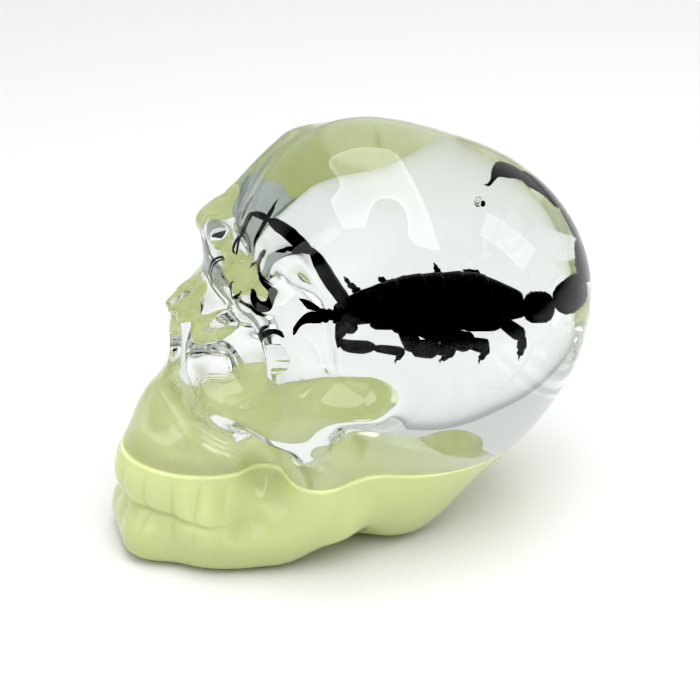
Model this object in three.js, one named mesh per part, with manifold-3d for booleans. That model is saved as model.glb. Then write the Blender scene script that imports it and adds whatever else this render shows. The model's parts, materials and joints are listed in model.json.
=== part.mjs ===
// A paperweight cast in the shape of a human skull: a clear resin casting on a lime-green resin layer.
// Millimetres, +Z up, the face looks along -Y, the base stands on z = 0 and x = 0 is the plane of symmetry.
import * as THREE from "three";
import { mergeVertices } from "three/addons/utils/BufferGeometryUtils.js";
import Module from "manifold-3d";

// Height of the flat face between the lime layer, poured first, and the clear resin above it.
const LAYER_TOP = 20;
// Hair gap that keeps the two castings from touching.
const LAYER_GAP = 0.3;
// Side of the little cells in which the skin is looked for.
const CELL = 2.5;
// Corners of the box of cells, which holds the whole skull with room to spare.
const BOX_LOW = [-32.5, -46.8, -2.8];
const BOX_HIGH = [32.5, 48.2, 82.2];
// Times each point is moved onto the skin, the farthest it moves at once, and the step that feels the slope.
const SETTLING_ROUNDS = 3;
const SETTLING_STEP = 0.4;
const FEELER = 0.05;
// Half-width over which the left and right halves are eased into each other at the middle.
const MIDLINE_EASE = 0.7;
// Radius that rounds the flat underside into the sides.
const BASE_ROUNDING = 3;
// Blocks that cut the skull in two are this long on every side.
const CUTTER = 200;

// An egg-shaped piece: its centre, its three half-sizes and its tilt in degrees about X.
function egg(name, at, half, options) {
  return { name, kind: "egg", at, half, tilt: 0, ease: 0, paired: false, ...options };
}

// A round-ended rod: its two ends and the radius at each.
function rod(name, from, to, radii, options) {
  return { name, kind: "rod", from, to, radii, ease: 0, paired: false, ...options };
}

// Swellings that melt into one another in this order. ease: how far each melts into what came before.
// paired: written for the right side and met again on the left.
const SWELLINGS = [
  egg("brain case", [0, 12, 45.5], [28, 32, 27], { tilt: -14 }),
  egg("forehead", [0, 0.5, 55.5], [16, 16.5, 20.5], { ease: 12 }),
  egg("back of the head", [0, 14, 34.5], [25.5, 21, 25], { ease: 12 }),
  egg("skull base", [0, 5.5, 15], [20, 15.5, 19], { ease: 10 }),
  rod("forehead corner", [13.8, -16, 59], [14, -5, 64.6], [2.5, 5], { ease: 8, paired: true }),
  egg("floor between jaw and skull base", [0, -7, 10], [14, 10.5, 12], { ease: 5 }),
  egg("face", [0, -17.5, 36.5], [17, 15, 19], { ease: 6 }),
  rod("brow", [0, -23, 55.5], [14.5, -22, 55], [2.4, 2.2], { ease: 4, paired: true }),
  rod("orbit's outer rim", [18.5, -18, 53.5], [22, -17, 40], [3.2, 3], { ease: 7, paired: true }),
  egg("orbit's outer wall", [17, -13, 46], [5, 5.5, 9.5], { ease: 4, paired: true }),
  rod("cheekbone", [9.5, -27, 32.5], [21.5, -18, 34], [2.5, 4], { ease: 3, paired: true }),
  rod("cheek arch", [21.5, -17, 35.5], [26, -4, 36.5], [3.5, 2.5], { ease: 6, paired: true }),
  rod("nose bone", [1, -24.3, 50.5], [1, -32.2, 46.5], [1.8, 1.4], { ease: 2, paired: true }),
  rod("side of the nose", [3, -28.5, 47], [8, -27, 34], [2, 3], { ease: 3, paired: true }),
  egg("upper jaw", [0, -26, 22], [13.5, 13.5, 11], { tilt: -15, ease: 5 }),
  egg("upper teeth", [0, -26.5, 15], [13.5, 16.8, 11.5], { ease: 4 }),
  egg("lower teeth", [0, -23.5, 3], [16.5, 17.3, 9.5], { ease: 3 }),
  rod("chin", [-5, -38, 4], [5, -38, 4], [5.7, 5.7], { ease: 4 }),
  rod("jaw body", [11.5, -28, 9], [13, -17, 8], [6, 7.5], { ease: 5, paired: true }),
  rod("jaw branch", [17, -8, 12.5], [19.5, -12.5, 28], [6, 4], { ease: 8, paired: true }),
];

// Hollows taken out of the swellings, written the same way.
const HOLLOWS = [
  egg("orbit", [14.5, -27, 43.5], [7.5, 11.5, 9], { ease: 1.8, paired: true }),
  egg("nose opening", [0, -36, 40.5], [5, 6.5, 7], { ease: 1.5 }),
  egg("under the cheek", [21, -20.5, 23.5], [11, 4, 6.5], { ease: 2.5, paired: true }),
  egg("side of the jaw", [20.5, -24, 13.5], [5, 4, 5], { ease: 2, paired: true }),
  rod("groove behind the jaw", [26, -4.5, 21.5], [25.5, -9.5, 9], [2.5, 2.5], { ease: 2.5, paired: true }),
];

// The smaller of two distances, with the crease where they meet rounded over the width `ease`.
function meltedMinimum(a, b, ease) {
  const share = THREE.MathUtils.clamp(0.5 + (0.5 * (b - a)) / ease, 0, 1);
  return THREE.MathUtils.lerp(b, a, share) - ease * share * (1 - share);
}

// About how far a point is from an egg's skin: negative inside.
function eggDistance(x, y, z, egg) {
  const turn = THREE.MathUtils.degToRad(egg.tilt);
  const dy = y - egg.at[1];
  const dz = z - egg.at[2];
  const local = [
    x - egg.at[0],
    Math.cos(turn) * dy + Math.sin(turn) * dz,
    Math.cos(turn) * dz - Math.sin(turn) * dy,
  ];
  const scaled = Math.hypot(...local.map((value, axis) => value / egg.half[axis]));
  const slope = Math.hypot(...local.map((value, axis) => value / egg.half[axis] ** 2));
  return slope > 0 ? (scaled * (scaled - 1)) / slope : -Math.min(...egg.half);
}

// How far a point is from the skin of a round rod whose radius runs evenly from end to end.
function rodDistance(x, y, z, rod) {
  const run = rod.to.map((value, axis) => value - rod.from[axis]);
  const away = [x - rod.from[0], y - rod.from[1], z - rod.from[2]];
  const length2 = run[0] ** 2 + run[1] ** 2 + run[2] ** 2;
  const along = (away[0] * run[0] + away[1] * run[1] + away[2] * run[2]) / length2;
  const part = THREE.MathUtils.clamp(along, 0, 1);
  const off = away.map((value, axis) => value - part * run[axis]);
  return Math.hypot(...off) - THREE.MathUtils.lerp(rod.radii[0], rod.radii[1], part);
}

function pieceDistance(x, y, z, piece) {
  // A paired piece is worked out once, on the right, for both sides.
  const side = piece.paired ? Math.sqrt(x * x + MIDLINE_EASE ** 2) : x;
  return piece.kind === "egg" ? eggDistance(side, y, z, piece) : rodDistance(side, y, z, piece);
}

// Negative inside the skull, positive outside it.
function skullDistance(x, y, z) {
  let distance = pieceDistance(x, y, z, SWELLINGS[0]);
  for (const swelling of SWELLINGS.slice(1)) {
    distance = meltedMinimum(distance, pieceDistance(x, y, z, swelling), swelling.ease);
  }
  for (const hollow of HOLLOWS) {
    distance = -meltedMinimum(-distance, pieceDistance(x, y, z, hollow), hollow.ease);
  }
  return -meltedMinimum(-distance, z, BASE_ROUNDING);
}

// A point near the skin, moved straight onto it by the distance there and the way it grows.
function ontoSkin(point) {
  let settled = point;
  for (let round = 0; round < SETTLING_ROUNDS; round++) {
    const here = skullDistance(...settled);
    const slope = settled.map((value, axis) => {
      const felt = [...settled];
      felt[axis] = value + FEELER;
      return (skullDistance(...felt) - here) / FEELER;
    });
    const steepness = Math.hypot(...slope);
    const move = THREE.MathUtils.clamp(here / steepness, -SETTLING_STEP, SETTLING_STEP);
    settled = settled.map((value, axis) => value - (move * slope[axis]) / steepness);
  }
  return settled;
}

// The skull's distance at every corner of the cells, kept by the corner's whole-number place.
function sampleCorners() {
  const counts = BOX_LOW.map((low, axis) => Math.round((BOX_HIGH[axis] - low) / CELL) + 1);
  const values = new Float64Array(counts[0] * counts[1] * counts[2]);
  const index = (i, j, k) => (k * counts[1] + j) * counts[0] + i;
  const place = (i, j, k) => [i, j, k].map((step, axis) => BOX_LOW[axis] + step * CELL);
  for (let k = 0; k < counts[2]; k++) {
    for (let j = 0; j < counts[1]; j++) {
      for (let i = 0; i < counts[0]; i++) values[index(i, j, k)] = skullDistance(...place(i, j, k));
    }
  }
  return { counts, place, at: (i, j, k) => values[index(i, j, k)], index };
}

// The middle of the skin inside a cell: the mean of where it crosses the cell's twelve sides.
function crossingInCell(corners, i, j, k) {
  const sum = new THREE.Vector3();
  let crossings = 0;
  for (let axis = 0; axis < 3; axis++) {
    for (let side = 0; side < 4; side++) {
      const near = [i, j, k];
      near[(axis + 1) % 3] += side & 1;
      near[(axis + 2) % 3] += side >> 1;
      const far = [...near];
      far[axis] += 1;
      const before = corners.at(...near);
      const after = corners.at(...far);
      if (before < 0 === after < 0) continue;
      const from = new THREE.Vector3(...corners.place(...near));
      sum.add(from.lerp(new THREE.Vector3(...corners.place(...far)), before / (before - after)));
      crossings += 1;
    }
  }
  return crossings ? ontoSkin(sum.divideScalar(crossings).toArray()) : null;
}

// The two triangles of a four-sided patch, split along its shorter diagonal.
function splitPatch(points, [a, b, c, d]) {
  const apart = (p, q) => Math.hypot(...points[p].map((value, axis) => value - points[q][axis]));
  return apart(a, c) < apart(b, d) ? [a, b, c, a, c, d] : [a, b, d, b, c, d];
}

// The skin: a point in every cell that it passes through, and a patch round every side that it cuts.
function skullGeometry() {
  const corners = sampleCorners();
  const [countX, countY, countZ] = corners.counts;
  const points = [];
  const pointOf = new Map();
  const faces = [];
  for (let k = 0; k < countZ - 1; k++) {
    for (let j = 0; j < countY - 1; j++) {
      for (let i = 0; i < countX - 1; i++) {
        const point = crossingInCell(corners, i, j, k);
        if (!point) continue;
        pointOf.set(corners.index(i, j, k), points.length);
        points.push(point);
      }
    }
  }
  for (let k = 1; k < countZ - 1; k++) {
    for (let j = 1; j < countY - 1; j++) {
      for (let i = 1; i < countX - 1; i++) {
        for (let axis = 0; axis < 3; axis++) {
          const far = [i, j, k];
          far[axis] += 1;
          const inside = corners.at(i, j, k) < 0;
          if (inside === corners.at(...far) < 0) continue;
          const round = [[1, 1], [0, 1], [0, 0], [1, 0]].map(([back1, back2]) => {
            const cell = [i, j, k];
            cell[(axis + 1) % 3] -= back1;
            cell[(axis + 2) % 3] -= back2;
            return pointOf.get(corners.index(...cell));
          });
          faces.push(...splitPatch(points, inside ? round : round.reverse()));
        }
      }
    }
  }
  const geometry = new THREE.BufferGeometry();
  geometry.setAttribute("position", new THREE.Float32BufferAttribute(points.flat(), 3));
  geometry.setIndex(faces);
  return geometry;
}

const wasm = await Module();
wasm.setup();

function solidFrom(geometry) {
  const mesh = new wasm.Mesh({
    numProp: 3,
    vertProperties: geometry.getAttribute("position").array,
    triVerts: new Uint32Array(geometry.index.array),
  });
  return new wasm.Manifold(mesh);
}

function geometryFrom(solid) {
  const mesh = solid.getMesh();
  const geometry = new THREE.BufferGeometry();
  geometry.setAttribute("position", new THREE.BufferAttribute(mesh.vertProperties, mesh.numProp));
  geometry.setIndex(new THREE.BufferAttribute(mesh.triVerts, 1));
  geometry.computeVertexNormals();
  return geometry;
}

// A block wide enough to hold the whole skull, from one height to another.
function blockBetween(low, high) {
  const box = new THREE.BoxGeometry(CUTTER, CUTTER, high - low);
  box.translate(0, 0, (low + high) / 2);
  box.deleteAttribute("normal");
  box.deleteAttribute("uv");
  return solidFrom(mergeVertices(box));
}

function piece(name, solid, finish) {
  const mesh = new THREE.Mesh(geometryFrom(solid), new THREE.MeshStandardMaterial(finish));
  mesh.name = name;
  return mesh;
}

const skull = solidFrom(skullGeometry());
const clearHalf = skull.intersect(blockBetween(LAYER_TOP + LAYER_GAP, CUTTER));
const limeHalf = skull.intersect(blockBetween(-CUTTER, LAYER_TOP));

const part = new THREE.Group();
part.name = "skull_paperweight";
part.add(
  piece("clear_casting", clearHalf, { color: 0xe9efec, roughness: 0.05, metalness: 0 }),
  piece("lime_layer", limeHalf, { color: 0xc9dc8c, roughness: 0.12, metalness: 0 }),
);
export default part;
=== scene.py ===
# %% [markdown]
# # A scorpion sealed in a skull of clear resin
# The object is a desk paperweight. A whole black scorpion is sealed in clear resin that was cast in
# the shape of a human skull, and the casting stands on a second pour of lime-green resin that takes
# in the jaws. Everything is measured in the CAD frame, so the first step loads that frame. Sizes
# are thought out in millimetres and turned into Blender's metres when a mesh is made. The skull's
# face looks along -Y, up is +Z.

import json

import bmesh
import bpy
import numpy as np
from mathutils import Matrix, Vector

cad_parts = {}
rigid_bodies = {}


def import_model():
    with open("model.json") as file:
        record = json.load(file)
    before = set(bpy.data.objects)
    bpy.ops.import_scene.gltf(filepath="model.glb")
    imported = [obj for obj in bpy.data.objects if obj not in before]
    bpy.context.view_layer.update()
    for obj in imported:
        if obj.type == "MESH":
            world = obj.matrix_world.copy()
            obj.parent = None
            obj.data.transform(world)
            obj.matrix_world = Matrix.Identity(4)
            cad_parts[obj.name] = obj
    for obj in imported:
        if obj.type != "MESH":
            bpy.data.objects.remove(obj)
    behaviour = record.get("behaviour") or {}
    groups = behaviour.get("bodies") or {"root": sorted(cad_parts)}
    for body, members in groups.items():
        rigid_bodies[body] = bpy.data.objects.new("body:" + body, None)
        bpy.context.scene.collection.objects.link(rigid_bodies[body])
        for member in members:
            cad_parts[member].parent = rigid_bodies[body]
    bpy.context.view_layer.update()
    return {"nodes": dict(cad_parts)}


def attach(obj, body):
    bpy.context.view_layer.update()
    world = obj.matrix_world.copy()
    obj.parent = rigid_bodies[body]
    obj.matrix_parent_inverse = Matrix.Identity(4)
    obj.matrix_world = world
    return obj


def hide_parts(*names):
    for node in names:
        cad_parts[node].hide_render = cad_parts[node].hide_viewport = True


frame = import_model()
MM = 0.001
ROOT = "root"
print("CAD nodes:", sorted(frame["nodes"]))

# %% [markdown]
# ## From arrays to a mesh
# Every piece here is worked out as whole numpy arrays: points in millimetres, and faces as rows of
# point numbers. A face list could be built one polygon at a time with bmesh, which is slow for a
# fine skin. Handing both arrays to from_pydata is quick and keeps the piece's place in its mesh,
# with its object left at the origin.

# %% Put arrays into a piece


def piece_from(name, points_mm, faces, material, slot_name):
    """A named piece that rides on the frame: points in millimetres, faces as rows of point numbers,
    shaded smooth."""
    mesh = bpy.data.meshes.new(name)
    mesh.from_pydata((np.asarray(points_mm) * MM).tolist(), [], [list(map(int, f)) for f in faces])
    mesh.polygons.foreach_set("use_smooth", np.ones(len(mesh.polygons), bool))
    mesh.materials.append(material)
    mesh.update()
    piece = bpy.data.objects.new(name, mesh)
    bpy.context.scene.collection.objects.link(piece)
    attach(piece, ROOT)
    print(f"{name}: {len(mesh.vertices)} points, {len(mesh.polygons)} faces")
    return piece


# %% [markdown]
# ## The skull as melted-together eggs and rods
# A skull has no straight edge to draw, but each of its parts is close to an egg or to a round-ended
# rod: the brain case is an egg, the brow and the cheekbone are rods. For each of these there is a
# simple formula for about how far a point is from its skin. Taking the smaller of two such
# distances joins the shapes, and rounding that choice off over a few millimetres melts one into the
# other, as clay does. The same choice the other way round takes an orbit out of the face.

# %% Distances to an egg and to a rod


def egg_distance(p, at, half, tilt=0.0):
    """About how far points are from an egg's skin: k (k - 1) / g, where k is the point's distance
    from the middle in half-sizes and g the same with half-sizes squared. It is tilted about X by
    that many degrees."""
    c, s = np.cos(np.radians(tilt)), np.sin(np.radians(tilt))
    x, y, z = (p[i] - at[i] for i in range(3))
    y, z = c * y + s * z, c * z - s * y
    k = np.sqrt((x / half[0]) ** 2 + (y / half[1]) ** 2 + (z / half[2]) ** 2)
    g = np.sqrt((x / half[0] ** 2) ** 2 + (y / half[1] ** 2) ** 2 + (z / half[2] ** 2) ** 2)
    return k * (k - 1) / (g + 1e-9)


def rod_distance(p, start, end, radii):
    """How far points are from a rod: the distance to the nearest point of its axis, less the radius
    there."""
    run = np.subtract(end, start)
    away = [p[i] - start[i] for i in range(3)]
    t = np.clip(sum(a * r for a, r in zip(away, run)) / (run @ run), 0, 1)
    off = [a - t * r for a, r in zip(away, run)]
    return np.sqrt(off[0] ** 2 + off[1] ** 2 + off[2] ** 2) - (radii[0] + (radii[1] - radii[0]) * t)


def melted_minimum(a, b, ease):
    """The smaller of two distances, with the crease between them rounded over the width ease."""
    share = np.clip(0.5 + 0.5 * (b - a) / ease, 0, 1)
    return b + (a - b) * share - ease * share * (1 - share)


# %% [markdown]
# ## The skull's own list of parts
# Each line is one swelling or hollow, in millimetres, written for the +X side when it comes in a
# pair, which is the skull's own left. The order matters, because each one melts into all that came
# before it, over the width in its last number.

# %% Swellings and hollows

BRAIN_CASE = dict(at=(0, 12, 45.5), half=(28, 32, 27), tilt=-14)
SWELLINGS = [
    ("forehead", "egg", False, dict(at=(0, 0.5, 55.5), half=(16, 16.5, 20.5)), 12),
    ("back of the head", "egg", False, dict(at=(0, 14, 34.5), half=(25.5, 21, 25)), 12),
    ("skull base", "egg", False, dict(at=(0, 5.5, 15), half=(20, 15.5, 19)), 10),
    ("forehead corner", "rod", True, dict(start=(13.8, -16, 59), end=(14, -5, 64.6), radii=(2.5, 5)), 8),
    ("floor between jaw and base", "egg", False, dict(at=(0, -7, 10), half=(14, 10.5, 12)), 5),
    ("face", "egg", False, dict(at=(0, -17.5, 36.5), half=(17, 15, 19)), 6),
    ("brow", "rod", True, dict(start=(0, -23, 55.5), end=(14.5, -22, 55), radii=(2.4, 2.2)), 4),
    ("orbit's rim", "rod", True, dict(start=(18.5, -18, 53.5), end=(22, -17, 40), radii=(3.2, 3)), 7),
    ("orbit's outer wall", "egg", True, dict(at=(17, -13, 46), half=(5, 5.5, 9.5)), 4),
    ("cheekbone", "rod", True, dict(start=(9.5, -27, 32.5), end=(21.5, -18, 34), radii=(2.5, 4)), 3),
    ("cheek arch", "rod", True, dict(start=(21.5, -17, 35.5), end=(26, -4, 36.5), radii=(3.5, 2.5)), 6),
    ("nose bone", "rod", True, dict(start=(1, -24.3, 50.5), end=(1, -32.2, 46.5), radii=(1.8, 1.4)), 2),
    ("side of the nose", "rod", True, dict(start=(3, -28.5, 47), end=(8, -27, 34), radii=(2, 3)), 3),
    ("upper jaw", "egg", False, dict(at=(0, -26, 22), half=(13.5, 13.5, 11), tilt=-15), 5),
    ("upper teeth", "egg", False, dict(at=(0, -26.5, 15), half=(13.5, 16.8, 11.5)), 4),
    ("lower teeth", "egg", False, dict(at=(0, -23.5, 3), half=(16.5, 17.3, 9.5)), 3),
    ("chin", "rod", False, dict(start=(-5, -38, 4), end=(5, -38, 4), radii=(5.7, 5.7)), 4),
    ("jaw body", "rod", True, dict(start=(11.5, -28, 9), end=(13, -17, 8), radii=(6, 7.5)), 5),
    ("jaw branch", "rod", True, dict(start=(17, -8, 12.5), end=(19.5, -12.5, 28), radii=(6, 4)), 8),
]
HOLLOWS = [
    ("orbit", "egg", True, dict(at=(14.5, -27, 43.5), half=(7.5, 11.5, 9)), 1.8),
    ("nose opening", "egg", False, dict(at=(0, -36, 40.5), half=(5, 6.5, 7)), 1.5),
    ("under the cheek", "egg", True, dict(at=(21, -20.5, 23.5), half=(11, 4, 6.5)), 2.5),
    ("side of the jaw", "egg", True, dict(at=(20.5, -24, 13.5), half=(5, 4, 5)), 2),
    ("behind the jaw", "rod", True, dict(start=(26, -4.5, 21.5), end=(25.5, -9.5, 9), radii=(2.5, 2.5)), 2.5),
]
MIDLINE_EASE = 0.7
BASE_ROUNDING = 3.0
print(len(SWELLINGS) + 1, "swellings and", len(HOLLOWS), "hollows make the skull")


def part_distance(p, kind, paired, sizes):
    """Distance to one part. A paired part is worked out once, with x folded over to the +X side by
    the root of x^2 + ease^2, which leaves no crease on the midline."""
    side = np.sqrt(p[0] ** 2 + MIDLINE_EASE**2) if paired else p[0]
    measure = egg_distance if kind == "egg" else rod_distance
    return measure((side, p[1], p[2]), **sizes)


# %% [markdown]
# ## Teeth
# The two tooth rows are soft swellings on the front of the jaws, not separate teeth, because the
# mould blurred them. They are a ripple that follows the angle round the tooth arch, in one band for
# each row. Each band stands out a little from the gum, a groove goes in between two teeth, and the
# bite line is pressed in between the bands.

# %% Tooth rows

ARCH_CENTRE_Y = -20.0
TOOTH_WAVES = 12.5
UPPER_ROW = dict(middle=14.6, reach=3.1, arching=0.5, height=0.35, groove=0.75)
LOWER_ROW = dict(middle=8.3, reach=1.8, arching=0.3, height=0.25, groove=0.40)
ROW_SOFTNESS = 0.28
BITE = dict(middle=11.0, reach=0.5, depth=0.5)
ARCH_END = dict(edge=1.25, softness=0.1)
ARCH_BACK = dict(edge=-18.0, softness=1.5)
print("each tooth takes up", 180 / TOOTH_WAVES, "degrees of the arch")


def fade(value, edge, softness):
    """1 below an edge and 0 above it, with a smooth change over the softness."""
    return 1 / (1 + np.exp(np.clip((value - edge) / softness, -40, 40)))


def tooth_row(z, crown, middle, reach, arching, height, groove):
    """One row's ripple: a band of heights within reach + arching * crown^2 of the row's middle,
    times height + groove * (crown - 1)."""
    band = fade(np.abs(z - middle), reach + arching * crown**2, ROW_SOFTNESS)
    return band * (height + groove * (crown - 1))


def tooth_ripple(p):
    """Height of both rows and the bite line at points. Crown is the square root of a wave round the
    arch, from 0 between two teeth to 1 on a tooth."""
    x, y, z = p
    angle = np.arctan2(x, -(y - ARCH_CENTRE_Y))
    crown = np.sqrt(np.abs(np.cos(angle * TOOTH_WAVES)) + 1e-6)
    bite = BITE["depth"] * np.exp(-(((z - BITE["middle"]) / BITE["reach"]) ** 2))
    rows = tooth_row(z, crown, **UPPER_ROW) - bite + tooth_row(z, crown, **LOWER_ROW)
    return rows * fade(np.abs(angle), **ARCH_END) * fade(y, **ARCH_BACK)


def skull_distance(p):
    """Negative inside the skull, positive outside: swellings melted together, hollows taken out,
    teeth added, and everything under the table cut away with a rounded edge."""
    d = egg_distance(p, **BRAIN_CASE)
    for _, kind, paired, sizes, ease in SWELLINGS:
        d = melted_minimum(d, part_distance(p, kind, paired, sizes), ease)
    for _, kind, paired, sizes, ease in HOLLOWS:
        d = -melted_minimum(-d, part_distance(p, kind, paired, sizes), ease)
    d = d - tooth_ripple(p)
    return -melted_minimum(-d, p[2], BASE_ROUNDING)


MIDDLE = (0.0, 10.0, 45.0)
print("distance at the middle of the brain case:", round(float(skull_distance(MIDDLE)), 1), "mm")

# %% [markdown]
# ## A skin with no poles
# A globe's grid crowds its lines together at two poles, and that shows in clear resin. So the skin
# starts as the six square faces of a cube. Each face is a grid in two parameters, and each grid
# point gives a direction. From a short line between brain case and jaw, a ray runs in each
# direction, and the point where it comes out of the skull is the skin. The rays are followed from
# outside inwards, all of them at once, by as much as the distance allows.

# %% The cube's six grids as directions


def cube_grid(n):
    """Directions and square faces of a cube cut n by n on each side. Along an edge the angle grows
    evenly, and points on the cube's edges are shared by whole-number place, so that the skin is
    closed."""
    u, v = np.meshgrid(np.arange(n + 1), np.arange(n + 1), indexing="ij")
    places, squares = [], []
    for axis in range(3):
        for end in (0, n):
            place = np.empty((n + 1, n + 1, 3), int)
            place[..., axis] = end
            place[..., (axis + 1) % 3] = u
            place[..., (axis + 2) % 3] = v
            number = len(places) * (n + 1) ** 2 + np.arange((n + 1) ** 2).reshape(n + 1, n + 1)
            ring = [number[:-1, :-1], number[1:, :-1], number[1:, 1:], number[:-1, 1:]]
            squares.append(np.stack(ring if end else ring[::-1], -1).reshape(-1, 4))
            places.append(place.reshape(-1, 3))
    unique, back = np.unique(np.concatenate(places), axis=0, return_inverse=True)
    spread = np.tan((2 * unique / n - 1) * np.pi / 4)
    directions = spread / np.linalg.norm(spread, axis=1, keepdims=True)
    return directions, back.reshape(-1)[np.concatenate(squares)]


print("a cube cut 4 by 4 has", len(cube_grid(4)[0]), "grid points")

# %% Follow the rays inwards to the skin

HEART = np.array([0.0, 0.0, 34.0])
HEART_RUN = np.array([0.0, -12.0, -12.0])
REACH = 64.0
CAREFUL = 0.7
ROUNDS = 60


def skull_skin(n, inset=0.0):
    """Points of the skin, inset by some millimetres, on an n by n cube grid, with their square
    faces."""
    directions, squares = cube_grid(n)
    jawward = directions @ (HEART_RUN / np.linalg.norm(HEART_RUN))
    start = HEART + jawward[:, None] * HEART_RUN
    r = np.full(len(directions), REACH)
    for _ in range(ROUNDS):
        r -= CAREFUL * (skull_distance((start + r[:, None] * directions).T) + inset)
    return start + r[:, None] * directions, squares


SKIN_GRID = 128
skin_points, skin_squares = skull_skin(SKIN_GRID)
print("skull measures", np.ptp(skin_points, axis=0).round(1), "mm")

# %% [markdown]
# ## Two pours
# The casting is two pours of resin, one on the other, so the line between them is level and crisp.
# Each is the skin cut off at that level and closed with a flat face. The clear pour reaches a
# fraction of a millimetre down into the lime one. That way no film of air is left between them,
# which would turn the flat face into a mirror.

# %% Cut the skin level

LAYER_TOP = 20.0
CLEAR_REACH = 0.25
LAYER_INSET = 0.03
LEVEL_TOLERANCE = 1e-4
print("the two pours meet", LAYER_TOP, "mm above the table")


def mesh_points(mesh):
    """A mesh's points, read as one array in its own units."""
    flat = np.empty(len(mesh.vertices) * 3)
    mesh.vertices.foreach_get("co", flat)
    return flat.reshape(-1, 3)


def level_cut(points, squares, level, keep_above):
    """The part of a closed skin above or below a level, closed with a flat face whose rim stays
    sharp."""
    skin = bpy.data.meshes.new("skin_to_cut")
    skin.from_pydata(points.tolist(), [], squares.tolist())
    work = bmesh.new()
    work.from_mesh(skin)
    everything = work.verts[:] + work.edges[:] + work.faces[:]
    bmesh.ops.bisect_plane(
        work,
        geom=everything,
        plane_co=(0, 0, level),
        plane_no=(0, 0, 1),
        clear_outer=not keep_above,
        clear_inner=keep_above,
    )
    rim = [edge for edge in work.edges if edge.is_boundary]
    bmesh.ops.holes_fill(work, edges=rim)
    bmesh.ops.recalc_face_normals(work, faces=work.faces)
    work.to_mesh(skin)
    work.free()
    cut_points = mesh_points(skin)
    cut_faces = [list(face.vertices) for face in skin.polygons]
    bpy.data.meshes.remove(skin)
    return cut_points, cut_faces


def sharpen_level(piece, level):
    """Marks the edges that lie in a level as sharp, so that the flat face is shaded flat."""
    mesh = piece.data
    in_level = np.abs(mesh_points(mesh)[:, 2] / MM - level) < LEVEL_TOLERANCE
    ends = np.empty(len(mesh.edges) * 2, int)
    mesh.edges.foreach_get("vertices", ends)
    sharp = mesh.attributes.new("sharp_edge", "BOOLEAN", "EDGE")
    sharp.data.foreach_set("value", in_level[ends].reshape(-1, 2).all(1))


# %% [markdown]
# ## Clear resin
# Cast resin bends light about as much as glass does, with an index near 1.5, and its polished skin
# is almost perfectly smooth. The mould leaves it a little wavy, which shows only in the lamps'
# reflections. The colour of clear resin isn't on its surface: it is a faint grey-green that the
# light picks up on its way through, so it is given as absorption in the volume.

# %% The clear resin's material


def plain_material(name, **inputs):
    """A Principled material whose named inputs are set to plain values."""
    material = bpy.data.materials.new(name)
    material.use_nodes = True
    shader = material.node_tree.nodes["Principled BSDF"]
    for socket, value in inputs.items():
        shader.inputs[socket.replace("_", " ")].default_value = value
    return material, shader


def noise_node(material, size_mm, detail=2.0):
    """A noise whose blobs are about that many millimetres across, laid out on the piece's own
    coordinates."""
    tree = material.node_tree
    place = tree.nodes.new("ShaderNodeTexCoord")
    noise = tree.nodes.new("ShaderNodeTexNoise")
    noise.inputs["Scale"].default_value = 1 / (size_mm * MM)
    noise.inputs["Detail"].default_value = detail
    tree.links.new(place.outputs["Object"], noise.inputs["Vector"])
    return noise


def add_relief(material, shader, height, depth_mm):
    """Lets a height between 0 and 1 raise the surface by up to that many millimetres, as bump."""
    bump = material.node_tree.nodes.new("ShaderNodeBump")
    bump.inputs["Strength"].default_value = 1.0
    bump.inputs["Distance"].default_value = depth_mm * MM
    material.node_tree.links.new(height, bump.inputs["Height"])
    material.node_tree.links.new(bump.outputs["Normal"], shader.inputs["Normal"])


WAVE_SIZE, WAVE_DEPTH = 14.0, 0.10
LIGHT_LET_THROUGH = (0.775, 0.81, 0.79, 1.0)
TINT_PER_METRE = 16.0
clear_resin, clear_shader = plain_material(
    "clear_cast_resin",
    Base_Color=(1.0, 1.0, 1.0, 1.0),
    Roughness=0.0,
    IOR=1.5,
    Transmission_Weight=1.0,
)
mould_waves = noise_node(clear_resin, WAVE_SIZE, 0.0).outputs["Fac"]
add_relief(clear_resin, clear_shader, mould_waves, WAVE_DEPTH)
depth_tint = clear_resin.node_tree.nodes.new("ShaderNodeVolumeAbsorption")
depth_tint.inputs["Color"].default_value = LIGHT_LET_THROUGH
depth_tint.inputs["Density"].default_value = TINT_PER_METRE
clear_output = clear_resin.node_tree.nodes["Material Output"]
clear_resin.node_tree.links.new(depth_tint.outputs["Volume"], clear_output.inputs["Volume"])

clear_level = LAYER_TOP - CLEAR_REACH
clear_part = level_cut(skin_points, skin_squares, clear_level, True)
clear_skull = piece_from("clear_skull", *clear_part, clear_resin, "clear_resin")
sharpen_level(clear_skull, clear_level)
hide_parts("clear_casting")

# %% [markdown]
# ## Lime resin
# The lime pour is full of fine pigment. Light goes a few millimetres into it and comes out again
# near by, which rounds off its shading like a sweet's. That is subsurface scattering, under a
# polished skin. Light could be followed through a real volume of pigment too, but that takes far
# longer and looks the same. The colour is slightly cloudy. It is painted darker towards the bottom
# as painted shade, and much paler on the flat top face under the clear pour, as painted light that
# stands in for the light the clear resin keeps from it.

# %% The lime resin's material

lime_resin, lime_shader = plain_material(
    "lime_cast_resin",
    Roughness=0.06,
    IOR=1.5,
    Subsurface_Weight=0.5,
    Subsurface_Radius=(1.0, 1.0, 0.5),
    Subsurface_Scale=2.5 * MM,
)
# Painted shade and light: the lime is darker low down and much paler on the flat top face at 20 mm.
LIME_PAINTED_LIGHT_BY_HEIGHT = [
    (0.0, (0.45, 0.50, 0.235, 1.0)),
    (8.0, (0.51, 0.57, 0.27, 1.0)),
    (18.9, (0.57, 0.64, 0.305, 1.0)),
    (19.7, (0.90, 0.97, 0.46, 1.0)),
]
RAMP_TOP = 25.0
CLOUD_SIZE, CLOUDINESS = 9.0, 0.03
LIME_WAVE_SIZE, LIME_WAVE_DEPTH = 6.0, 0.04


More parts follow.
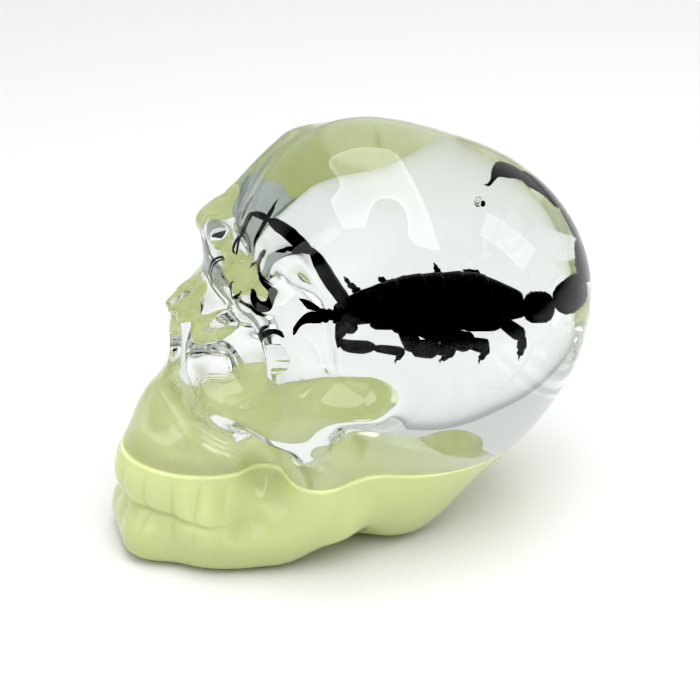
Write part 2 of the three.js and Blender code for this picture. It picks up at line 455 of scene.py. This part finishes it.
def node_math(material, operation, first, second):
    """The result of a sum on two numbers, each one a plain value or another node's output."""
    tree = material.node_tree
    result = tree.nodes.new("ShaderNodeMath")
    result.operation = operation
    for socket, value in zip(result.inputs, (first, second)):
        if isinstance(value, (int, float)):
            socket.default_value = value
        else:
            tree.links.new(value, socket)
    return result.outputs["Value"]


def colour_ramp(material, share, stops):
    """A colour that runs smoothly through stops, each a share from 0 to 1 and a colour."""
    tree = material.node_tree
    ramp = tree.nodes.new("ShaderNodeValToRGB")
    while len(ramp.color_ramp.elements) < len(stops):
        ramp.color_ramp.elements.new(0.5)
    for element, (position, colour) in zip(ramp.color_ramp.elements, stops):
        element.position, element.color = position, colour
    tree.links.new(share, ramp.inputs["Fac"])
    return ramp.outputs["Color"]


def own_coordinate(material, axis):
    """The X, Y or Z, in metres, of the shaded point in the piece's own coordinates."""
    tree = material.node_tree
    place = tree.nodes.new("ShaderNodeTexCoord")
    axes = tree.nodes.new("ShaderNodeSeparateXYZ")
    tree.links.new(place.outputs["Object"], axes.inputs["Vector"])
    return axes.outputs[axis]


lime_z = own_coordinate(lime_resin, "Z")
lime_height = node_math(lime_resin, "MULTIPLY", lime_z, 1 / (RAMP_TOP * MM))
lime_noise = noise_node(lime_resin, CLOUD_SIZE).outputs["Fac"]
lime_cloud = node_math(lime_resin, "MULTIPLY", lime_noise, CLOUDINESS)
lime_share = node_math(lime_resin, "ADD", lime_height, lime_cloud)
lime_painted_light_stops = [(height / RAMP_TOP + CLOUDINESS / 2, colour) for height, colour in LIME_PAINTED_LIGHT_BY_HEIGHT]
lime_colour_with_painted_light = colour_ramp(lime_resin, lime_share, lime_painted_light_stops)
lime_resin.node_tree.links.new(lime_colour_with_painted_light, lime_shader.inputs["Base Color"])
lime_waves = noise_node(lime_resin, LIME_WAVE_SIZE, 0.0).outputs["Fac"]
add_relief(lime_resin, lime_shader, lime_waves, LIME_WAVE_DEPTH)

inset_points, inset_squares = skull_skin(SKIN_GRID, inset=LAYER_INSET)
lime_part = level_cut(inset_points, inset_squares, LAYER_TOP, False)
lime_base = piece_from("lime_base", *lime_part, lime_resin, "lime_resin")
sharpen_level(lime_base, LAYER_TOP)
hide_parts("lime_layer")

# %% [markdown]
# ## The scorpion's own tool: an oval carried along a path
# A scorpion is armour: tubes for the limbs and tail, and bent plates for the trunk. A tube could be
# a curve object with a bevel, but its ends and keels would be hard to shape. So an oval is carried
# along a path in numpy. The path and the oval's two half-sizes are smooth curves through a few
# stations.

# %% Smooth curves and carried ovals


def through(stations, share):
    """A smooth curve through evenly spaced stations, at shares 0 to 1: between two stations it is
    the cubic that leaves each one in the direction from the station before it to the station after
    it."""
    s = np.asarray(stations, float)
    s = np.concatenate([[2 * s[0] - s[1]], s, [2 * s[-1] - s[-2]]])
    along = np.clip(share, 0, 1) * (len(s) - 3)
    i = np.minimum(along.astype(int), len(s) - 4)
    f = (along - i).reshape(along.shape + (1,) * (s.ndim - 1))
    a, b, c, d = (s[i + k] for k in range(4))
    return b + 0.5 * f * (c - a + f * (2 * a - 5 * b + 4 * c - d + f * (3 * (b - c) + d - a)))


def carried_oval(path, across, upward, up=None, rings=14, around=14, blunt=6, keels=0, keel=0.0, beads=0):
    """A closed tube. At share t of the path and angle v, the point is path(t) + cos v across(t)
    side + sin v upward(t) rise. Towards both ends the oval shrinks by the root of 1 - |2t - 1| ^
    blunt, which rounds them. Keels add a ridge wherever cos(keels v) is near 1, and beads make the
    ridges knobbly along the tube."""
    t = (1 - np.cos(np.linspace(0, np.pi, rings + 2)[1:-1])) / 2
    at = through(path, t)
    run = np.gradient(at, t, axis=0)
    run /= np.linalg.norm(run, axis=1, keepdims=True)
    if up is None:
        up = np.eye(3)[np.argmin(np.abs(run[len(run) // 2]))]
    side = np.cross(run, up)
    side /= np.linalg.norm(side, axis=1, keepdims=True)
    rise = np.cross(side, run)
    close = np.sqrt(1 - np.abs(2 * t - 1) ** blunt)
    v = np.arange(around) * 2 * np.pi / around
    knobs = 1 + 0.5 * np.cos(2 * np.pi * beads * t)[:, None]
    ridge = 1 + keel * knobs * (0.5 + 0.5 * np.cos(keels * v)) ** 4
    w = (through(across, t) * close)[:, None] * np.cos(v) * ridge
    h = (through(upward, t) * close)[:, None] * np.sin(v) * ridge
    skin = at[:, None] + w[..., None] * side[:, None] + h[..., None] * rise[:, None]
    points = np.concatenate([skin.reshape(-1, 3), through(path, np.array([0.0, 1.0]))])
    ring = np.arange(rings * around).reshape(rings, around)
    turn = np.roll(ring, -1, axis=1)
    quads = np.stack([ring[:-1], ring[1:], turn[1:], turn[:-1]], -1).reshape(-1, 4)
    first, last = np.full(around, rings * around), np.full(around, rings * around + 1)
    first_cap = np.stack([first, ring[0], turn[0]], -1)
    last_cap = np.stack([last, turn[-1], ring[-1]], -1)
    return points, quads.tolist() + first_cap.tolist() + last_cap.tolist()


def joined(parts):
    """Several closed shapes as one list of points and one of faces."""
    starts = np.cumsum([0] + [len(points) for points, _ in parts])
    faces = [[i + int(start) for i in face] for start, (_, rows) in zip(starts, parts) for face in rows]
    return np.concatenate([points for points, _ in parts]), faces


# %% [markdown]
# ## Black shell
# A scorpion's shell is hard, black and shiny, with a fine grain of knobs. Under resin it shows
# little gloss, because the resin around it bends light almost as much as the shell does. So the
# keels and knobs of the limbs and tail are real relief, and the finish drifts between black and the
# darkest brown-green and between shiny and dull.

# %% The shell's material

scorpion_shell, shell_shader = plain_material("black_scorpion_shell", IOR=1.08)
SHELL_BLACKS = [(0.40, (0.0025, 0.0025, 0.003, 1.0)), (0.75, (0.012, 0.012, 0.009, 1.0))]
BLOTCH_SIZE = 3.0
WEAR_SIZE = 1.4
SHINIEST = 0.25
WEAR_DEPTH = 0.3
shell_blotches = noise_node(scorpion_shell, BLOTCH_SIZE).outputs["Fac"]
shell_colour = colour_ramp(scorpion_shell, shell_blotches, SHELL_BLACKS)
scorpion_shell.node_tree.links.new(shell_colour, shell_shader.inputs["Base Color"])
shell_grain = noise_node(scorpion_shell, WEAR_SIZE, 1.0).outputs["Fac"]
shell_wear = node_math(scorpion_shell, "MULTIPLY", shell_grain, WEAR_DEPTH)
shell_polish = node_math(scorpion_shell, "ADD", shell_wear, SHINIEST)
scorpion_shell.node_tree.links.new(shell_polish, shell_shader.inputs["Roughness"])
print("shell roughness runs from", SHINIEST, "to", SHINIEST + WEAR_DEPTH)

# %% [markdown]
# ## The trunk
# The trunk is a spindle, bluntest at the head and widest a little past its middle, where the seven
# back plates overlap like roof tiles. One function gives the spindle. A plate is a strip of it, a
# little proud of the body at its rear edge, made as a leaf: two skins that meet all round the edge.

# %% The spindle

TRUNK_PATH = [
    (0, -1.4, 43.4), (0, 4.0, 44.6), (0, 9.4, 43.6),
    (0, 14.8, 42.4), (0, 20.2, 41.3), (0, 25.4, 39.7),
]
TRUNK_ACROSS = [2.6, 4.2, 4.9, 5.3, 4.4, 1.7]
TRUNK_BACK = [1.6, 2.7, 2.6, 2.45, 2.2, 1.2]
TRUNK_BELLY = [1.3, 3.3, 3.7, 3.5, 2.6, 1.1]
print("the trunk is", round(TRUNK_PATH[-1][1] - TRUNK_PATH[0][1], 1), "mm long")


def trunk_point(t, angle, grow=1.0):
    """path(t) + cos angle across(t) along X + sin angle times the back's or the belly's half-height
    along Z."""
    deep = np.where(np.sin(angle) > 0, through(TRUNK_BACK, t), through(TRUNK_BELLY, t))
    offset = np.stack([through(TRUNK_ACROSS, t) * np.cos(angle), 0 * t, deep * np.sin(angle)], -1)
    return through(TRUNK_PATH, t) + offset * np.asarray(grow)[..., None]


def leaf(surface, thickness, rows=12, columns=40):
    """A plate made from a surface of two shares (s, v): two skins half a thickness either way along
    its normal, drawn together at the edges by the root of 1 - |2s - 1|^8, and the same for v, so
    that they meet."""
    s, v = np.meshgrid(np.linspace(0, 1, rows), np.linspace(0, 1, columns), indexing="ij")
    middle = surface(s, v)
    normal = np.cross(np.gradient(middle, axis=0), np.gradient(middle, axis=1))
    normal /= np.linalg.norm(normal, axis=-1, keepdims=True) + 1e-12
    taper = np.sqrt(np.clip((1 - np.abs(2 * s - 1) ** 8) * (1 - np.abs(2 * v - 1) ** 8), 0, 1))
    lift = normal * (taper * thickness / 2)[..., None]
    number = np.arange(rows * columns).reshape(rows, columns)
    inside = number[1:-1, 1:-1]
    under = number.copy()
    under[1:-1, 1:-1] = rows * columns + np.arange(inside.size).reshape(inside.shape)
    points = np.concatenate([(middle + lift).reshape(-1, 3), (middle - lift)[1:-1, 1:-1].reshape(-1, 3)])

    def squares(n):
        return np.stack([n[:-1, :-1], n[1:, :-1], n[1:, 1:], n[:-1, 1:]], -1).reshape(-1, 4)

    return points, squares(number).tolist() + squares(under)[:, ::-1].tolist()


def trunk_strip(start, end, low, high, proud, wave=0.0):
    """A strip of the trunk from share start to end and between two angles in degrees, proud at its
    rear edge."""

    def surface(s, v):
        t = start + (end - start) * s
        angle = np.radians(low + (high - low) * v)
        return trunk_point(t, angle, 1.0 + proud * s**2 + wave * np.cos(angle * 14) * s)

    return surface


def shell_piece(name, points, faces):
    """A piece of the scorpion's shell."""
    return piece_from(name, points, faces, scorpion_shell, "scorpion_shell")


# %% [markdown]
# ## Back plates, belly plates and the soft body between them
# Seven plates wrap the back from flank to flank and five softer ones cover the belly. Between them
# the skin is folded and soft, which lets the animal swell when it eats. Each plate starts a little
# under the one before it, so that the edges overlap without a gap, and a plain tube fills the
# trunk behind them. One long plate with grooves in it would be simpler, but its edges would cast no
# step of light.

# %% Trunk pieces

PLATE_SHARES = [0.27, 0.335, 0.41, 0.50, 0.60, 0.71, 0.83, 0.99]
UNDER, BACK_OVER, BELLY_OVER = 0.02, 0.012, 0.01
BACK_PLATE = dict(low=-8, high=188, proud=0.055, wave=0.004)
BELLY_PLATE = dict(low=200, high=340, proud=0.035)
BACK_THICKNESS, BELLY_THICKNESS = 0.35, 0.3
SOFT_WIDTH, SOFT_HEIGHT = 0.96, 0.93
for number, (start, end) in enumerate(zip(PLATE_SHARES, PLATE_SHARES[1:]), 1):
    back = leaf(trunk_strip(start - UNDER, end + BACK_OVER, **BACK_PLATE), BACK_THICKNESS)
    shell_piece(f"scorpion_back_plate_{number}", *back)
for number, (start, end) in enumerate(zip(PLATE_SHARES[2:], PLATE_SHARES[3:]), 1):
    belly = leaf(trunk_strip(start - UNDER, end + BELLY_OVER, **BELLY_PLATE), BELLY_THICKNESS)
    shell_piece(f"scorpion_belly_plate_{number}", *belly)

soft_body = carried_oval(
    TRUNK_PATH,
    np.multiply(TRUNK_ACROSS, SOFT_WIDTH),
    np.multiply(TRUNK_BACK, SOFT_HEIGHT),
    up=(0, 0, 1),
    rings=40,
    around=36,
    blunt=12,
)
shell_piece("scorpion_soft_body", *soft_body)

# %% [markdown]
# ## Head shield, eyes and jaws
# The head shield is one plate with a furrow down its middle, a pair of eyes on a low mound there,
# and three small eyes at each front corner. Two short pincers stick out under its front edge. The
# shield could be sculpted, but then it would have to be fitted to the plates by eye. Here it is the
# trunk's own surface, with the furrow and the mound added to it as bell curves.

# %% Head pieces


def head_shield(s, v):
    """The trunk's front strip, sunk along the middle by 0.3 mm and raised by 0.5 mm where the eyes
    sit. Its front edge is notched."""
    t = -0.01 + 0.29 * s + 0.02 * (1 - s) ** 6 * np.exp(-(((v - 0.5) / 0.08) ** 2))
    p = trunk_point(t, np.radians(-12 + 204 * v), 1.03)
    p[..., 2] -= 0.3 * np.exp(-((p[..., 0] / 0.5) ** 2)) * np.sin(np.pi * s)
    p[..., 2] += 0.5 * np.exp(-((p[..., 0] / 1.0) ** 2) - ((s - 0.42) / 0.12) ** 2)
    return p


shell_piece("scorpion_head_shield", *leaf(head_shield, 0.4, 28, 56))


def bead(at, size):
    """A low round bead, as long as it is wide."""
    ends = [np.add(at, (0, -size, 0)), np.add(at, (0, size, 0))]
    return carried_oval(ends, [size] * 2, [size * 0.8] * 2, up=(0, 0, 1), rings=8, around=12, blunt=2)


MIDDLE_EYES = [(0.42, 0.45), (0.42, 0.55)]
CORNER_EYES = [(0.06 + 0.06 * k, v) for v in (0.17, 0.83) for k in range(3)]
eyes = [bead(head_shield(np.array([s]), np.array([v]))[0], 0.32) for s, v in MIDDLE_EYES]
eyes += [bead(head_shield(np.array([s]), np.array([v]))[0], 0.17) for s, v in CORNER_EYES]
shell_piece("scorpion_eyes", *joined(eyes))

jaws = []
for side in (-1, 1):
    palm = [(side * 0.9, -0.4, 43.5), (side * 0.95, -2.0, 43.3), (side * 0.85, -2.9, 43.1)]
    outer = [(side * 1.2, -2.6, 43.1), (side * 1.3, -3.4, 42.9), (side * 0.8, -4.0, 42.6)]
    inner = [(side * 0.55, -2.6, 43.2), (side * 0.4, -3.3, 43.0), (side * 0.6, -3.9, 42.7)]
    jaws.append(carried_oval(palm, [0.6, 0.75, 0.6], [0.7, 0.8, 0.6]))
    jaws.append(carried_oval(outer, [0.28, 0.22, 0.05], [0.28, 0.2, 0.05], rings=10, around=10))
    jaws.append(carried_oval(inner, [0.28, 0.22, 0.05], [0.28, 0.2, 0.05], rings=10, around=10))
shell_piece("scorpion_jaws", *joined(jaws))

# %% [markdown]
# ## Walking legs
# Beyond its hip each of the eight legs has six pieces, and it ends in two small claws. The legs are
# folded differently, as they stiffened in the dried animal. Bones and a pose would bend them all
# alike, so each leg is a list of its joints instead. The left legs hang and point back, close
# together under the trunk, and the right ones are slimmer and stick out and up.

# %% Legs

LEFT_HALF_WIDTHS = [0.9, 1.15, 1.25, 0.9, 0.6, 0.42]
LEFT_LEGS = [
    [
        (2.0, 2.2, 42.2), (3.4, 0.2, 43.2), (5.6, -3.9, 43.4),
        (6.0, -3.1, 42.0), (6.0, 4.0, 40.4), (6.0, 8.5, 38.9),
    ],
    [
        (2.2, 4.6, 42.4), (3.8, 8.4, 42.4), (6.2, 10.0, 39.2),
        (6.4, 13.0, 38.7), (6.2, 15.3, 38.2), (6.0, 14.8, 37.3),
    ],
    [
        (2.3, 6.6, 42.0), (3.9, 9.6, 42.2), (6.4, 13.8, 40.3),
        (6.8, 17.6, 38.9), (6.4, 19.6, 37.9), (6.0, 19.5, 36.8),
    ],
    [
        (2.3, 7.8, 41.2), (4.0, 10.4, 41.6), (6.4, 16.4, 41.8),
        (6.4, 21.7, 41.2), (6.0, 24.5, 38.4), (6.0, 24.3, 36.6),
    ],
]
LEFT_TOES = [(6.0, 7.7, 38.0), (6.0, 14.0, 36.9), (6.0, 19.0, 36.1), (6.0, 24.0, 35.9)]
RIGHT_HALF_WIDTHS = [1.0, 0.8, 0.65, 0.45, 0.38, 0.25]
RIGHT_LEGS = [
    [
        (-2.0, 2.2, 42.6), (-3.6, 2.4, 43.4), (-6.6, 5.4, 43.0),
        (-8.0, 5.0, 43.8), (-8.0, 4.1, 45.4), (-8.0, 3.0, 47.0),
    ],
    [
        (-2.2, 4.2, 41.9), (-3.8, 5.0, 42.4), (-6.8, 9.0, 41.4),
        (-8.0, 9.0, 41.8), (-8.0, 8.6, 42.8), (-8.0, 7.8, 44.0),
    ],
    [
        (-2.3, 6.0, 41.3), (-3.9, 8.0, 41.5), (-7.0, 14.2, 41.0),
        (-8.0, 15.9, 41.0), (-8.0, 15.7, 41.7), (-8.0, 15.4, 42.3),
    ],
    [
        (-2.3, 7.8, 41.0), (-4.0, 10.2, 41.0), (-7.2, 18.6, 40.4),
        (-8.0, 21.4, 38.9), (-8.0, 21.0, 39.8), (-8.0, 20.6, 40.4),
    ],
]
RIGHT_TOES = [(-8.0, 2.1, 48.5), (-8.0, 6.6, 45.4), (-8.0, 15.1, 43.0), (-8.0, 19.4, 40.9)]


def limb_piece(start, end, half, keels=6):
    """One piece of a limb between two joints: slim at its near end, fuller at its far end, reaching
    a little past both joints so that neighbours overlap."""
    start, end = np.array(start, float), np.array(end, float)
    past = 0.35 * half * (end - start) / np.linalg.norm(end - start)
    across = np.multiply([0.72, 0.95, 1.0, 1.08, 0.95], half)
    path = [start - past, end + past]
    ridges = dict(keels=keels, keel=0.08, beads=5)
    return carried_oval(path, across, across * 0.92, rings=12, around=18, blunt=5, **ridges)


def leg(joints, toe, half_widths):
    """A leg from its joints, its toe and its pieces' half-widths, with two claws that hook on from
    the toe."""
    ends = joints[1:] + [toe]
    parts = [limb_piece(a, b, half) for a, b, half in zip(joints, ends, half_widths)]
    step = np.subtract(toe, joints[-1])
    step = step / np.linalg.norm(step)
    for side in (-1, 1):
        spread = np.array([0.22 * side, 0, 0])
        claw = [toe, toe + step * 0.35 + spread, toe + step * 0.45 + spread * 1.6 + (0, 0, -0.35)]
        parts.append(carried_oval(claw, [0.13, 0.09, 0.02], [0.13, 0.09, 0.02], rings=8, around=8))
    return joined(parts)


for number, (joints, toe) in enumerate(zip(LEFT_LEGS, LEFT_TOES), 1):
    shell_piece(f"scorpion_left_leg_{number}", *leg(joints, toe, LEFT_HALF_WIDTHS))
for number, (joints, toe) in enumerate(zip(RIGHT_LEGS, RIGHT_TOES), 1):
    shell_piece(f"scorpion_right_leg_{number}", *leg(joints, toe, RIGHT_HALF_WIDTHS))

# %% [markdown]
# ## Arms with pincers
# The arms are longer and thicker than the legs. The left one reaches up and forward, and its slim
# pincer hangs down from the wrist with the two fingers almost shut. The right one lies in front of
# the head, half open. They use the same carried oval as the legs, with its half-widths given along
# the path, so that a hand can swell and a finger can taper to its tip.

# %% Arms


def finger(path, half):
    """A finger: a slim tube that bends through its path and tapers to a point."""
    across = np.multiply([1.0, 0.85, 0.65, 0.15], half)
    teeth = dict(keels=2, keel=0.15, beads=14)
    return carried_oval(path, across, across * 0.9, rings=22, around=12, blunt=10, **teeth)


def hand(path, half):
    """A hand: a keeled tube that swells behind the fingers, with the half-widths given along its
    path."""
    ridges = dict(keels=8, keel=0.06, beads=5)
    return carried_oval(path, half, np.multiply(half, 0.9), rings=20, around=24, **ridges)


LEFT_THIGH = [(1.5, 1.2, 45.4), (3.5, -2.9, 51.6), (6.0, -5.8, 56.1), (7.9, -7.7, 58.9)]
LEFT_FOREARM = [
    (7.9, -7.6, 58.9), (7.8, -9.5, 59.7), (6.2, -10.3, 60.0),
    (4.0, -11.9, 61.3), (2.0, -12.9, 61.6),
]
LEFT_WRIST = [(2.0, -12.9, 61.6), (0.2, -13.6, 61.6), (-1.5, -15.2, 61.6)]
LEFT_HAND = [(-1.5, -15.0, 61.6), (-2.2, -15.9, 60.3), (-3.0, -15.9, 57.6), (-3.5, -16.4, 54.8)]
left_arm = [
    hand(LEFT_THIGH, [1.0, 1.15, 1.1, 0.85]),
    hand(LEFT_FOREARM, [0.8, 1.15, 1.1, 0.9, 0.5]),
    hand(LEFT_WRIST, [0.45, 0.6, 0.45]),
    hand(LEFT_HAND, [0.5, 0.75, 0.7, 0.45]),
    finger([(-3.4, -17.0, 55.4), (-3.8, -19.0, 51.4), (-4.0, -19.3, 48.9), (-4.0, -18.9, 47.2)], 0.36),
    finger([(-3.7, -16.1, 55.2), (-3.9, -17.8, 51.0), (-4.0, -18.6, 48.4), (-4.0, -18.8, 47.0)], 0.32),
]
shell_piece("scorpion_left_arm", *joined(left_arm))

RIGHT_ARM = [(-1.8, 1.4, 42.6), (-2.6, -1.9, 42.4), (-3.0, -4.4, 42.2)]
right_arm = [
    limb_piece(RIGHT_ARM[0], RIGHT_ARM[1], 1.2, keels=8),
    limb_piece(RIGHT_ARM[1], RIGHT_ARM[2], 1.1, keels=8),
    hand([(-3.0, -3.8, 42.2), (-3.0, -5.8, 41.9), (-3.0, -8.2, 41.7)], [0.8, 1.15, 0.95]),
    finger([(-3.0, -6.9, 42.4), (-3.0, -9.4, 43.0), (-3.0, -11.6, 42.9)], 0.6),
    finger([(-3.0, -7.4, 41.3), (-3.0, -10.7, 41.6), (-3.0, -12.3, 41.1), (-3.0, -12.9, 39.5)], 0.8),
]
shell_piece("scorpion_right_arm", *joined(right_arm))

# %% [markdown]
# ## Tail and sting
# The tail is five keeled barrels that get longer towards the end. It runs straight back, curls up
# against the back of the brain case and comes forward again under the crown. The last bulb carries
# the sting, a thin hook. One long tube would lose the joints, so each barrel is a tube of its own
# with a neck at both ends.

# %% Tail

TAIL_JOINTS = [
    (0, 25.2, 39.4),
    (-0.2, 29.3, 38.8),
    (-0.9, 34.3, 41.3),
    (-1.6, 35.6, 47.2),
    (-2.0, 34.6, 53.0),
    (-2.0, 28.6, 59.4),
]
TAIL_HALF_WIDTHS = [1.75, 1.8, 1.75, 1.65, 1.85]
TAIL_BOWS = [(0, 0, 0), (0, 0, 0), (0, 0.3, -0.2), (0, 0.5, 0.1), (0, 0.9, 0.9)]
TAIL_NECKS = [0.62, 0.62, 0.62, 0.72, 0.88]
barrels = zip(TAIL_JOINTS, TAIL_JOINTS[1:], TAIL_HALF_WIDTHS, TAIL_BOWS, TAIL_NECKS)
for number, (start, end, half, bow, neck) in enumerate(barrels, 1):
    across = np.multiply([neck, 1.0, 1.04, 0.98, neck], half)
    path = [start, np.add(start, end) / 2 + bow, end]
    ridges = dict(keels=8, keel=0.09, beads=7)
    barrel = carried_oval(path, across, across * 0.95, (1, 0, 0), rings=26, around=40, blunt=8, **ridges)
    shell_piece(f"scorpion_tail_{number}", *barrel)

STING_PATH = [
    (-2.0, 29.0, 59.2),
    (-2.0, 27.6, 60.4),
    (-2.0, 25.8, 60.6),
    (-2.0, 24.0, 59.7),
    (-2.0, 23.0, 58.2),
    (-2.0, 22.1, 57.3),
    (-2.0, 21.2, 57.5),
]
STING_HALF_WIDTHS = [1.4, 1.6, 1.7, 0.9, 0.4, 0.25, 0.04]
sting_halves = [STING_HALF_WIDTHS, STING_HALF_WIDTHS]
sting = carried_oval(STING_PATH, *sting_halves, up=(1, 0, 0), rings=48, around=24, blunt=14)
shell_piece("scorpion_sting", *sting)

# %% [markdown]
# ## A bubble
# One bubble of air was trapped near the sting. It is a tiny egg of air. Light that comes to it from
# the resin is bent the other way than at the resin's own skin, so its index is the resin's turned
# upside down, 1 / 1.5. A small dark egg in the shell's black sits against it as painted shade, for
# the dark side of the bubble.

# %% The air bubble

bubble_air, _ = plain_material("trapped_air", Roughness=0.0, IOR=1 / 1.5, Transmission_Weight=1.0)
bubble_path = [(0, 19.9, 55.5), (0, 19.7, 57.2)]
bubble = carried_oval(bubble_path, [0.75, 0.75], [0.75, 0.75], rings=20, around=24, blunt=2)
piece_from("air_bubble", *bubble, bubble_air, "air_bubble")
# Painted shade: a small black egg against the bubble stands in for its dark side.
bubble_shade_path = [(0.4, 20.5, 55.6), (0.4, 20.7, 56.5)]
bubble_shade = carried_oval(bubble_shade_path, [0.45, 0.35], [0.4, 0.3], rings=16, around=16, blunt=3)
shell_piece("scorpion_crumb", *bubble_shade)

# %% [markdown]
# ## Everything stays inside the resin
# The animal and the bubble are sealed in. A piece that came out through the skin would show as a
# hard black patch, and it could be searched for by eye from many sides. The skull's distance
# formula answers it at once: each piece's nearest point is as deep as the smallest distance says.

# %% Is everything well inside the resin?

SAFE_DEPTH = 1.5
depths = {}
for piece in bpy.data.objects:
    if piece.name.startswith("scorpion") or piece.name == "air_bubble":
        depths[piece.name] = -float(skull_distance(mesh_points(piece.data).T / MM).max())
for name, depth in depths.items():
    if depth < SAFE_DEPTH:
        print(name, "is only", round(depth, 2), "mm under the skin")
print("the piece nearest the skin is", round(min(depths.values()), 2), "mm under it")

# %% [markdown]
# ## Studio
# Clear resin has hardly any look of its own: it shows the room, bent. So the room is a light tent.
# The floor is pale paper with painted shade: it is painted greyer behind the casting and far off,
# where the casting's shadow and the lamps' falloff would darken it, and the walls are a soft grey.
# Wherever the resin turns the view from the near floor to the far floor or a wall, its edge is
# drawn in grey. A pure white room would be simpler, but the casting would have no edges in it.

# %% Floor and walls

FLOOR_HALF = 1.5
floor_mesh = bpy.data.meshes.new("floor")
floor_corners = [(FLOOR_HALF * x, FLOOR_HALF * y, 0) for x, y in ((-1, -1), (1, -1), (1, 1), (-1, 1))]
floor_mesh.from_pydata(floor_corners, [], [(0, 1, 2, 3)])
floor = bpy.data.objects.new("floor", floor_mesh)
bpy.context.scene.collection.objects.link(floor)
floor_paint, floor_shader = plain_material("pale_floor", Roughness=0.9)
# Painted shade: the floor is greyer behind the casting, towards -X, and paler in front of it.
PAPER_FROM = 0.5
FLOOR_PAINTED_SHADE_TONES = [(0.00, 0.56), (0.23, 0.72), (0.45, 0.75), (0.62, 0.86)]
floor_share = node_math(floor_paint, "ADD", own_coordinate(floor_paint, "X"), PAPER_FROM)
floor_painted_shade_stops = [(share, (tone, tone, tone, 1.0)) for share, tone in FLOOR_PAINTED_SHADE_TONES]
floor_tone_with_painted_shade = colour_ramp(floor_paint, floor_share, floor_painted_shade_stops)
floor_paint.node_tree.links.new(floor_tone_with_painted_shade, floor_shader.inputs["Base Color"])
floor_mesh.materials.append(floor_paint)

WALL_GREY = 0.74
WALL_TINT = (0.98, 1.0, 0.99, 1.0)
world = bpy.data.worlds.new("tent_walls")
bpy.context.scene.world = world
world.use_nodes = True
walls = world.node_tree.nodes["Background"]
walls.inputs["Color"].default_value = WALL_TINT
walls.inputs["Strength"].default_value = WALL_GREY
print("paper tones", FLOOR_PAINTED_SHADE_TONES, "and walls", WALL_GREY)

# %% [markdown]
# ## Lamps
# The room is lit like a display table in a shop, by one wide soft panel overhead. A single lamp bulb
# would give hard shadows and a small hot spot. Thin brighter strips round the panel's rim give the
# polished brain case its window-like patch of light. A low panel in front of the jaws brightens the
# lime resin there, and a small one behind adds a second soft patch.

# %% Lamps


def panel_lamp(name, at, toward, size, brightness):
    """A rectangular lamp at a point, facing another, whose face has that brightness: power = pi
    area brightness."""
    data = bpy.data.lights.new(name, "AREA")
    data.shape = "RECTANGLE"
    data.size, data.size_y = size
    data.energy = np.pi * size[0] * size[1] * brightness
    lamp = bpy.data.objects.new(name, data)
    bpy.context.scene.collection.objects.link(lamp)
    lamp.location = at
    lamp.rotation_euler = (Vector(at) - Vector(toward)).to_track_quat("Z", "Y").to_euler()
    print(f"{name}: {data.energy:.3f} W")


PANEL_HEIGHT = 0.45
PANEL_X, PANEL_Y = 0.13, 0.02
PANEL_SIZE = (0.54, 0.34)
STRIP_WIDTH = 0.04
PANEL_BRIGHTNESS, STRIP_BRIGHTNESS = 2.7, 3.8
JAWS, BRAIN = (0.0, -0.02, 0.02), (0.0, 0.0, 0.04)


def overhead_lamp(name, x, y, size, brightness):
    """A lamp at the panel's height that faces straight down."""
    panel_lamp(name, (x, y, PANEL_HEIGHT), (x, y, 0.0), size, brightness)


overhead_lamp("top_panel", PANEL_X, PANEL_Y, PANEL_SIZE, PANEL_BRIGHTNESS)
for word, side in (("low", -1), ("high", 1)):
    x = PANEL_X + side * PANEL_SIZE[0] / 2
    y = PANEL_Y + side * PANEL_SIZE[1] / 2
    overhead_lamp(f"strip_x_{word}", x, PANEL_Y, (STRIP_WIDTH, PANEL_SIZE[1]), STRIP_BRIGHTNESS)
    overhead_lamp(f"strip_y_{word}", PANEL_X, y, (PANEL_SIZE[0], STRIP_WIDTH), STRIP_BRIGHTNESS)
panel_lamp("front_panel", (0.30, -0.50, 0.30), JAWS, size=(0.40, 0.30), brightness=1.2)
panel_lamp("side_panel", (0.16, 0.62, 0.45), BRAIN, size=(0.26, 0.34), brightness=1.8)

# %% [markdown]
# ## Camera
# The casting is seen from its left side, a little from the front and from well above the table, as
# one looks at a paperweight on a desk. A longer lens from further off would flatten it, and a
# shorter one would swell the brain case. The place is worked out from two angles and a distance.

# %% Place the camera

AZIMUTH, ELEVATION = np.radians(75.0), np.radians(30.0)
DISTANCE = 0.450
TARGET = Vector((0.0, 0.0, 0.0335))
SENSOR_WIDTH = 36.0
FOCAL_LENGTH = 128.9
across_floor = np.cos(ELEVATION)
back = Vector((np.sin(AZIMUTH) * across_floor, -np.cos(AZIMUTH) * across_floor, np.sin(ELEVATION)))
camera_data = bpy.data.cameras.new("camera")
camera_data.sensor_width = SENSOR_WIDTH
camera_data.lens = FOCAL_LENGTH
camera = bpy.data.objects.new("camera", camera_data)
bpy.context.scene.collection.objects.link(camera)
camera.location = TARGET + back * DISTANCE
camera.rotation_euler = back.to_track_quat("Z", "Y").to_euler()
bpy.context.scene.camera = camera
print("camera at", tuple(round(c, 3) for c in camera.location), "m")

# %% [markdown]
# ## How light is followed and shown
# A ray that enters the skull is bent at its skin, at the bubble and at the face between the two
# pours, and is often mirrored several times before it comes out. If it is given up too soon it
# turns black, so the number of bounces is high. The black shell is still lit a little by the bright
# room. The picture's black point is raised until the shell is as black as one sees it.

# %% Bounces and the black point

BOUNCES = 32
DIFFUSE_BOUNCES = 8
BLACK_POINT = 0.045
scene = bpy.context.scene
scene.view_settings.view_transform = "Standard"
scene.view_settings.use_curve_mapping = True
scene.view_settings.curve_mapping.black_level = (BLACK_POINT,) * 3
scene.cycles.max_bounces = BOUNCES
scene.cycles.glossy_bounces = BOUNCES
scene.cycles.transmission_bounces = BOUNCES
scene.cycles.diffuse_bounces = DIFFUSE_BOUNCES
print("light is followed for", BOUNCES, "bounces")
